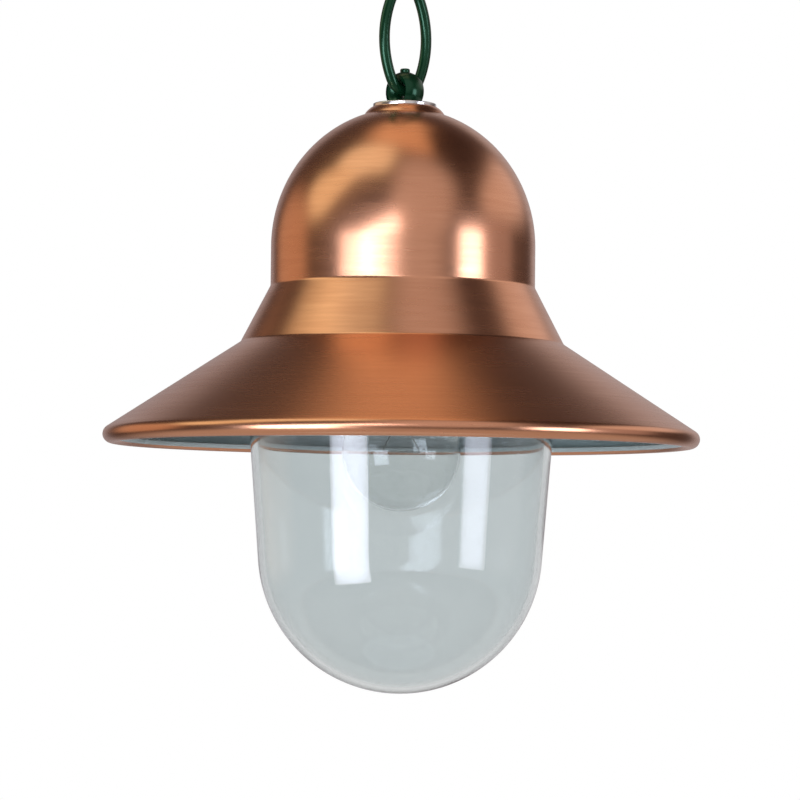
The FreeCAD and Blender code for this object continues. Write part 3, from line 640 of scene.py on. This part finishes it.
# %% [markdown]
# ## From a rule to a mesh
# A modifier's result is only a view of the piece. The lamp's pieces have to be plain meshes that ride
# on a body, so each result is copied to a mesh of its own. Steps of no length, such as those at the
# poles of the glass, are dissolved, and the normals are turned outward.

# %% Plain meshes
SHARP_FROM = math.radians(40)
NO_LENGTH = 1e-7


def plain_mesh(piece):
    """Replaces a piece's modifier by its result, closed, with its normals outward."""
    depsgraph = bpy.context.evaluated_depsgraph_get()
    mesh = bpy.data.meshes.new_from_object(piece.evaluated_get(depsgraph))
    piece.modifiers.clear()
    work = bmesh.new()
    work.from_mesh(mesh)
    bmesh.ops.dissolve_degenerate(work, dist=NO_LENGTH, edges=work.edges)
    loose = [edge for edge in work.edges if not edge.link_faces]
    bmesh.ops.delete(work, geom=loose, context="EDGES")
    bmesh.ops.recalc_face_normals(work, faces=work.faces)
    work.to_mesh(mesh)
    work.free()
    mesh.set_sharp_from_angle(angle=SHARP_FROM)
    piece.data = mesh


def run_tree(piece, tree, values):
    """Gives a piece the node tree, with its inputs found by the sockets' identifiers."""
    modifier = piece.modifiers.new(tree.name, "NODES")
    modifier.node_group = tree
    for item in tree.interface.items_tree:
        if item.name in values:
            modifier[item.identifier] = values[item.name]
    plain_mesh(piece)
    print(f"{piece.name}: {len(piece.data.polygons)} faces")


# %% Turn and dress a piece
def turned(name, outline, inner, segments, outside, inside=None, thread=None, pitch=1.0, depth=0.0):
    """Spins an outline in millimetres above the rim into a piece round the lamp's axis."""
    mesh = bpy.data.meshes.new(name)
    mesh.from_pydata([(p.x * MM, 0, RIM_BOTTOM + p.y * MM) for p in outline], [], [])
    for label, values in (("inner", inner), ("thread", thread or [0.0] * len(outline))):
        mesh.attributes.new(label, "FLOAT", "POINT").data.foreach_set("value", values)
    piece = bpy.data.objects.new(name, mesh)
    scene.collection.objects.link(piece)
    run_tree(piece, TURNING, {
        "Segments": segments, "Pitch": pitch * MM, "Depth": depth * MM,
        "Outside": outside, "Inside": inside or outside})
    return piece


def dress(piece, body, node):
    """The piece rides on its body and stands for its CAD node, which is hidden."""
    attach(piece, body)
    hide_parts(node)


# %% [markdown]
# ## The bell
# The outline runs from the shank hole over the boss, down the dome, the straight wall, the band and
# the brim, and ends in the rim, which is rolled inwards so that no cut edge shows. In the photograph
# the dome is drawn out a little and the boss is a bead, so both leave the solid's ball and hollow by
# up to a millimetre.

# %% Dome and boss
BOSS_EDGE = Vector((16.7, 171.331))
BOSS_SWELL = 0.35
BOSS_STEPS = 8
DOME_RADIUS = 66.7
DOME_CENTRE = 104.1
DOME_DRAWN = 3.5
DOME_RISE = DOME_RADIUS + DOME_DRAWN
SPRING = DOME_CENTRE - DOME_DRAWN
FOOT_RADIUS = 20.4

foot_angle = math.degrees(math.acos(FOOT_RADIUS / DOME_RADIUS))
dome = [Vector((p.x, SPRING + p.y * DOME_RISE / DOME_RADIUS))
        for p in arc((0, 0), DOME_RADIUS, foot_angle, 0, 2.0)]
flank = dome[0] - BOSS_EDGE
swell = Vector((-flank.y, flank.x)).normalized() * BOSS_SWELL
boss = [BOSS_EDGE + flank * t + swell * 4 * t * (1 - t)
        for t in (i / BOSS_STEPS for i in range(BOSS_STEPS + 1))]
print(f"dome from {dome[0].y:.1f} mm at the boss down to {dome[-1].y:.1f} mm above the rim")

# %% Bell
SHEET = 1.0
SHANK_HOLE = 4.3
WALL_FOOT = (DOME_RADIUS, 80.3)
BRIM_TOP = (81.5, 51.7)
CREASE = 3.0
CURL_CENTRE = Vector((145.5, 4.5))
CURL_RADIUS = 4.5
CURL_SWEEP = 227
BELL_SEGMENTS = 192

to_curl = CURL_CENTRE - Vector(BRIM_TOP)
dip = math.atan2(-to_curl.y, to_curl.x) - math.asin(CURL_RADIUS / to_curl.length)
meet = 90 - math.degrees(dip)
curl = arc(CURL_CENTRE, CURL_RADIUS, meet, meet - CURL_SWEEP, 0.6)
bell_line = joined(
    straight((SHANK_HOLE, BOSS_EDGE.y), BOSS_EDGE),
    boss,
    dome,
    bent([(DOME_RADIUS, SPRING), WALL_FOOT, BRIM_TOP, curl[0]], [CREASE, CREASE]),
    curl,
)
bell = turned("bell", *sheet(bell_line, SHEET), BELL_SEGMENTS, copper, coat)

# %% [markdown]
# ## Hole for the cable
# The cable comes in through a rubber grommet at the back of the dome. That hole doesn't lie on the
# axis, so the lathe can't make it. It could be cut into the mesh by hand, but a Boolean with a round
# bar as the drill gives a clean edge through both sides of the sheet.

# %% Hole for the cable grommet
GROMMET_LEAN = math.radians(26)
GROMMET_HOLE = 5.1
DRILL_LENGTH = 20.0
DRILL_SEGMENTS = 48

lean = Vector((0, math.sin(GROMMET_LEAN), math.cos(GROMMET_LEAN)))
drill_place = Vector((0, 0, RIM_BOTTOM + DOME_CENTRE * MM)) + lean * DOME_RADIUS * MM
drill = bmesh.new()
bmesh.ops.create_cone(
    drill, cap_ends=True, segments=DRILL_SEGMENTS, radius1=GROMMET_HOLE * MM,
    radius2=GROMMET_HOLE * MM, depth=DRILL_LENGTH * MM,
    matrix=Matrix.Translation(drill_place) @ facing(lean, "Z"))
drill_mesh = bpy.data.meshes.new("drill")
drill.to_mesh(drill_mesh)
drill.free()
drill_bit = bpy.data.objects.new("drill", drill_mesh)
scene.collection.objects.link(drill_bit)
bore = bell.modifiers.new("bore", "BOOLEAN")
bore.operation = "DIFFERENCE"
bore.object = drill_bit
plain_mesh(bell)
bpy.data.objects.remove(drill_bit)
print(f"bell bored, {len(bell.data.polygons)} faces")

# %% [markdown]
# ## Coat on the curl
# The inside is sprayed after the rim is rolled, so the coat also lies on the side of the curl that
# faces the axis. A second skin could stand for it, but a coat of paint has next to no thickness.
# It is enough that the faces which look inward take the coat's finish instead of the copper's.

# %% Coat on the curl
COATED_FROM = 0.8

curl_top = RIM_BOTTOM + 2 * CURL_RADIUS * MM
coat_slot = bell.data.materials.find("inside_coat")
coated = 0
for face in bell.data.polygons:
    inward = -face.normal.dot(Vector((face.center.x, face.center.y, 0)).normalized())
    if face.center.z < curl_top and inward > COATED_FROM:
        face.material_index = coat_slot
        coated += 1
dress(bell, "lamp", "shade")
print(f"{coated} faces of the curl coated")

# %% [markdown]
# ## Glass
# The dome is pressed and blown glass, 3.5 mm thick, a little smoky, with a coarse thread on its neck.
# Light from the softboxes passes straight through it, which keeps its shadow clear: only shadow rays
# get the Transparent shader. A long, shallow bump gives the slight waves of blown glass.

# %% Glass finishes
def glass(name, tint, second, wave_scale, wave_depth):
    """Clear glass with a tint. Shadow rays go straight through it."""
    material = worn_finish(
        name, tint, second, gloss=(0.0, 0.012), patches=9.0, fine=(wave_scale, 1.0), depth=wave_depth,
        Transmission_Weight=1.0, IOR=1.5)
    tree = material.node_tree
    clear = add(tree, "ShaderNodeBsdfTransparent", {}, {"Color": (*tint, 1)})
    both = add(tree, "ShaderNodeMixShader", {}, {
        0: rays(tree, "Shadow"), 1: tree.nodes["Principled BSDF"].outputs["BSDF"],
        2: clear.outputs["BSDF"]})
    tree.links.new(both.outputs["Shader"], tree.nodes["Material Output"].inputs["Surface"])
    return material


dome_glass = glass("dome_glass", (0.72, 0.758, 0.765), (0.70, 0.742, 0.75), 16.0, 0.00025)
bulb_glass = glass("bulb_glass", (0.95, 0.96, 0.955), (0.94, 0.95, 0.945), 30.0, 0.0001)

# %% Glass dome
GLASS_WALL = 3.5
GLASS_BALL = 71.5
GLASS_BALL_CENTRE = -52.669
GLASS_TAPER = 4.5
GLASS_SEGMENTS = 160
NECK_RADIUS = 61.0
NECK_TOP = 44.331
NECK_BEND = 4.0
SHOULDER = 14.331
SHOULDER_BEND = 7.0
THREAD_PITCH = 8.0
THREAD_DEPTH = 1.1
NECK_THREAD = (SHOULDER + 6, NECK_TOP - 2)
THREAD_EASE = 5

taper = math.radians(GLASS_TAPER)
shoulder_radius = GLASS_BALL / math.cos(taper) + (SHOULDER - GLASS_BALL_CENTRE) * math.tan(taper)
ball = arc((0, GLASS_BALL_CENTRE), GLASS_BALL, -GLASS_TAPER, -90)
glass_line = joined(
    bent([(NECK_RADIUS, NECK_TOP), (NECK_RADIUS, SHOULDER), (shoulder_radius, SHOULDER), ball[0]],
         [NECK_BEND, SHOULDER_BEND], 1.0),
    ball,
)
outline, inner = sheet(glass_line, GLASS_WALL)
thread = [ramp(p.y, *NECK_THREAD, THREAD_EASE) * (1 - side) for p, side in zip(outline, inner)]
glass_dome = turned("glass_dome_turned", outline, inner, GLASS_SEGMENTS, dome_glass,
                    thread=thread, pitch=THREAD_PITCH, depth=THREAD_DEPTH)
dress(glass_dome, "glass", "glass_dome")

# %% [markdown]
# ## Bulb
# The bulb is blown from thin clear glass: a ball of 60 mm that runs through a waist into a straight
# neck. It could be a ball with a neck pulled out of it, but two arcs and a straight give the form
# exactly, so the lathe turns the bulb as well.

# %% Bulb
BULB_WALL = 0.8
BULB_RADIUS = 30.0
BULB_CENTRE = -2.669
BULB_NECK = 12.0
BULB_NECK_TOP = 52.331
BULB_SEGMENTS = 96
WAIST = 30.0

rise = math.sqrt((BULB_RADIUS + WAIST) ** 2 - (BULB_NECK + WAIST) ** 2)
waist_angle = math.degrees(math.atan2(rise, BULB_NECK + WAIST))
bulb_line = joined(
    straight((BULB_NECK, BULB_NECK_TOP), (BULB_NECK, BULB_CENTRE + rise)),
    arc((BULB_NECK + WAIST, BULB_CENTRE + rise), WAIST, 180, 180 + waist_angle),
    arc((0, BULB_CENTRE), BULB_RADIUS, waist_angle, -90),
)
bulb = turned("bulb_blown", *sheet(bulb_line, BULB_WALL), BULB_SEGMENTS, bulb_glass)
dress(bulb, "bulb", "bulb_envelope")

# %% [markdown]
# ## Screw cap and shell
# The bulb's cap and the holder's shell are thin metal with a rolled thread: the sheet itself waves
# in and out, so both of its sides follow the thread. They share pitch and phase, and therefore
# keep their small gap while the bulb is screwed out.

# %% Metal of the cap and the shell
brass = worn_finish(
    "brass", (0.78, 0.57, 0.27), (0.62, 0.42, 0.17), gloss=(0.24, 0.4), patches=130.0,
    fine=(1200.0, 3.0), depth=0.00001, Metallic=1.0)

cap_metal, tree, shader = finish("cap_metal", Metallic=1.0)
place = object_place(tree)
wander(tree, shader, noise(tree, place, 160.0), (0.78, 0.78, 0.77), (0.68, 0.68, 0.67), 0.24, 0.38)
grain(tree, shader, noise(tree, ring_place(tree, place), 2500.0, 2.0), 0.00001)

# %% Cap and shell
ROLLED = {"pitch": 3.629, "depth": -1.15}
ROLLED_SEGMENTS = 96
ROLLED_STEP = 0.4
ROLLED_EASE = 1.5
THIN_SHEET = 0.6
CAP_MOUTH = 8.0
CAP_RADIUS = 13.0
CAP_BEND = 2.0
CAP_TOP = 65.831
CAP_LOW = 46.331
CAP_THREAD = (CAP_LOW + 7, CAP_TOP - 2)
SHELL_RADIUS = 14.0
SHELL_TOP = 74.831
SHELL_LOW = 51.831
SHELL_THREAD = (SHELL_LOW + 1.5, SHELL_TOP - 9)

cap_line = bent([(CAP_MOUTH, CAP_TOP), (CAP_RADIUS, CAP_TOP), (CAP_RADIUS, CAP_LOW)],
                [CAP_BEND], ROLLED_STEP)
outline, inner = sheet(cap_line, THIN_SHEET)
thread = [ramp(p.y, *CAP_THREAD, ROLLED_EASE) for p in outline]
cap = turned("bulb_cap_rolled", outline, inner, ROLLED_SEGMENTS, cap_metal, thread=thread, **ROLLED)
dress(cap, "bulb", "bulb_cap")

shell_line = straight((SHELL_RADIUS, SHELL_TOP), (SHELL_RADIUS, SHELL_LOW), ROLLED_STEP)
outline, inner = sheet(shell_line, THIN_SHEET)
thread = [ramp(p.y, *SHELL_THREAD, ROLLED_EASE) for p in outline]
shell = turned("shell_rolled", outline, inner, ROLLED_SEGMENTS, brass, thread=thread, **ROLLED)
dress(shell, "lamp", "lampholder_shell")

# %% [markdown]
# ## Filament
# A filament is a hair-thin tungsten wire wound into a coil and strung between two supports. The coil
# follows a plain rule, so it is a second small node tree: a line is cut into many points, each point
# is moved round the line as it goes along, and a thin round profile is swept over the result.

# %% Coil tree
POINTS_PER_TURN = 14
WIRE_SIDES = 8


def coil_tree():
    """The rule that winds a line into a coil of round wire."""
    tree, given = new_tree("wire_coil", {
        "Wire": "Geometry", "Turns": "Int", "Coil": "Float", "Thickness": "Float", "Metal": "Material"})
    wire = add(tree, "GeometryNodeMeshToCurve", {}, {"Mesh": given["Wire"]}).outputs["Curve"]
    points = calc(tree, "MULTIPLY_ADD", given["Turns"], POINTS_PER_TURN, 1)
    line = add(tree, "GeometryNodeResampleCurve", {"mode": "COUNT"}, {"Curve": wire, "Count": points})
    share = add(tree, "GeometryNodeSplineParameter").outputs["Factor"]
    angle = calc(tree, "MULTIPLY", calc(tree, "MULTIPLY", share, given["Turns"]), 2 * math.pi)
    aside = add(tree, "ShaderNodeCombineXYZ", {}, {
        "Y": calc(tree, "MULTIPLY", calc(tree, "COSINE", angle), given["Coil"]),
        "Z": calc(tree, "MULTIPLY", calc(tree, "SINE", angle), given["Coil"])})
    line = add(tree, "GeometryNodeSetPosition", {}, {
        "Geometry": line.outputs["Curve"], "Offset": aside.outputs["Vector"]})
    profile = add(tree, "GeometryNodeCurvePrimitiveCircle", {"mode": "RADIUS"}, {
        "Resolution": WIRE_SIDES, "Radius": given["Thickness"]})
    tube = add(tree, "GeometryNodeCurveToMesh", {}, {
        "Curve": line.outputs["Geometry"], "Profile Curve": profile.outputs["Curve"], "Fill Caps": True})
    tube = add(tree, "GeometryNodeSetMaterial", {}, {
        "Geometry": smooth_realized(tree, tube.outputs["Mesh"]), "Material": given["Metal"]})
    add(tree, "NodeGroupOutput", {}, {"Piece": tube.outputs["Geometry"]})
    return tree


WINDING = coil_tree()
print(f"coil tree of {len(WINDING.nodes)} nodes")

# %% Tungsten wire
tungsten, tree, shader = finish("tungsten", Metallic=1.0)
wander(tree, shader, noise(tree, object_place(tree), 700.0),
       (0.42, 0.40, 0.38), (0.28, 0.27, 0.26), 0.32, 0.5)


def wound(name, points, turns, coil, thickness):
    """A wire along the points, in millimetres across and above the rim, wound into a coil."""
    mesh = bpy.data.meshes.new(name)
    mesh.from_pydata([(x * MM, 0, RIM_BOTTOM + z * MM) for x, z in points],
                     [(i, i + 1) for i in range(len(points) - 1)], [])
    piece = bpy.data.objects.new(name, mesh)
    scene.collection.objects.link(piece)
    run_tree(piece, WINDING, {
        "Turns": turns, "Coil": coil * MM, "Thickness": thickness * MM, "Metal": tungsten})
    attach(piece, "bulb")
    return piece


# %% Filament and supports
FILAMENT_SPAN = 24.0
FILAMENT_FEET = 2.4
FILAMENT_TOP = 17.331
FILAMENT_STUB = 14.331
COIL_TURNS = 48
COIL_RADIUS = 0.32
COIL_WIRE = 0.11
SUPPORT_WIRE = 0.3
SUPPORT_BEND = 1.5
# a support isn't wound: its coil has no radius, and the turns only set how finely it is cut
SUPPORT_TURNS = 8

half = FILAMENT_SPAN / 2
foot = FILAMENT_FEET / 2
coil = wound("filament_coil", [(-half, BULB_CENTRE), (half, BULB_CENTRE)],
             COIL_TURNS, COIL_RADIUS, COIL_WIRE)
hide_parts("bulb_filament")
for name, side in (("support_left", -1), ("support_right", 1)):
    arm = bent([(side * foot, FILAMENT_TOP), (side * foot, FILAMENT_STUB), (side * half, BULB_CENTRE)],
               [SUPPORT_BEND], 1.0)
    wound(name, [tuple(p) for p in arm], SUPPORT_TURNS, 0.0, SUPPORT_WIRE)

# %% [markdown]
# ## Painted steel
# The link and the eye are bent and forged steel under thick, dark green gloss paint. They keep their CAD
# meshes, whose shape is already right, like all the pieces that follow. A coarse, shallow bump gives
# the marks of the brush. In the photograph even the highlights are greenish, so they get a tint too.

# %% Painted steel
GREEN_SHEEN = (0.45, 1.0, 0.68, 1)

green_paint = worn_finish(
    "green_paint", (0.002, 0.018, 0.007), (0.003, 0.026, 0.010), gloss=(0.16, 0.26), patches=90.0,
    fine=(380.0, 2.0), depth=0.00006, Specular_IOR_Level=0.5, Specular_Tint=GREEN_SHEEN)

# %% [markdown]
# ## Bare metals
# The washer on the crown is bright turned steel, and the housing is spun aluminium, so the grain of
# both runs in rings and draws their highlights out. The fasteners inside are zinc plated, and zinc
# grows in flat crystals, each with its own shade: the cells of a Voronoi texture. Solder freezes in
# small lumps, which a deeper grain shows.

# %% Turned metals
bright_steel = worn_finish(
    "bright_steel", (0.88, 0.88, 0.87), (0.78, 0.78, 0.77), gloss=(0.18, 0.3), patches=300.0,
    fine=(2400.0, 2.0), depth=0.000012, in_rings=True,
    Metallic=1.0, Anisotropic=0.4, Anisotropic_Rotation=0.25)
housing_aluminium = worn_finish(
    "housing_aluminium", (0.77, 0.78, 0.79), (0.66, 0.67, 0.68), gloss=(0.3, 0.42), patches=120.0,
    fine=(1500.0, 2.0), depth=0.000015, in_rings=True,
    Metallic=1.0, Anisotropic=0.35, Anisotropic_Rotation=0.25)

# %% Zinc and solder
zinc_steel, tree, shader = finish("zinc_steel", Metallic=1.0)
place = object_place(tree)
spangle = add(tree, "ShaderNodeTexVoronoi", {}, {"Vector": place, "Scale": 420.0}).outputs["Color"]
wander(tree, shader, spangle, (0.70, 0.71, 0.70), (0.54, 0.55, 0.55), 0.28, 0.46)
grain(tree, shader, noise(tree, place, 900.0), 0.00001)

solder = worn_finish(
    "solder", (0.66, 0.66, 0.67), (0.48, 0.48, 0.5), gloss=(0.3, 0.5), patches=260.0,
    fine=(420.0, 3.0), depth=0.00008, Metallic=1.0)

# %% [markdown]
# ## Porcelain, rubber and insulation
# The lampholder is glazed porcelain, and a clear coat over a duller body is just what the shader's
# coat does. Rubber is nearly black with a dull, fine skin. The bulb's insulator is black glass, and
# the leads have the soft sheath of house wire, brown for live and blue for neutral.

# %% Porcelain, rubber and insulation
porcelain = worn_finish(
    "porcelain", (0.80, 0.79, 0.75), (0.74, 0.73, 0.69), gloss=(0.16, 0.26), patches=60.0,
    fine=(220.0, 1.0), depth=0.00005, Coat_Weight=0.6, Coat_Roughness=0.06)
rubber = worn_finish(
    "rubber", (0.022, 0.022, 0.023), (0.036, 0.036, 0.037), gloss=(0.55, 0.75), patches=150.0,
    fine=(1100.0, 3.0), depth=0.00003, Specular_IOR_Level=0.35)
black_insulator = worn_finish(
    "black_insulator", (0.010, 0.010, 0.012), (0.022, 0.02, 0.024), gloss=(0.12, 0.24), patches=200.0,
    fine=(300.0, 1.0), depth=0.00004, Coat_Weight=0.4)
SHEATH = {
    "gloss": (0.36, 0.5), "patches": 240.0, "fine": (800.0, 3.0), "depth": 0.00002,
    "Specular_IOR_Level": 0.45}
lead_brown = worn_finish("lead_brown", (0.115, 0.045, 0.020), (0.085, 0.032, 0.014), **SHEATH)
lead_blue = worn_finish("lead_blue", (0.030, 0.105, 0.33), (0.022, 0.080, 0.26), **SHEATH)

# %% [markdown]
# ## Finishes on their pieces
# Each CAD piece comes with a slot that bears the name of its finish. So the finishes don't have to be
# assigned piece by piece: every slot takes the finish of its own name. Blender adds a number to a
# name that is taken already, and only what stands before the dot counts here.

# %% Assign the finishes
def plain_name(material):
    """A material's name without Blender's number."""
    return material.name.split(".")[0]


FINISHES = {plain_name(material): material for material in (
    copper, green_paint, bright_steel, rubber, zinc_steel, housing_aluminium, porcelain, brass,
    lead_brown, lead_blue, dome_glass, bulb_glass, cap_metal, black_insulator, solder, tungsten)}

for name, node in nodes.items():
    for spot in node.material_slots:
        spot.material = FINISHES[plain_name(spot.material)]
    print(name, [spot.material.name for spot in node.material_slots])
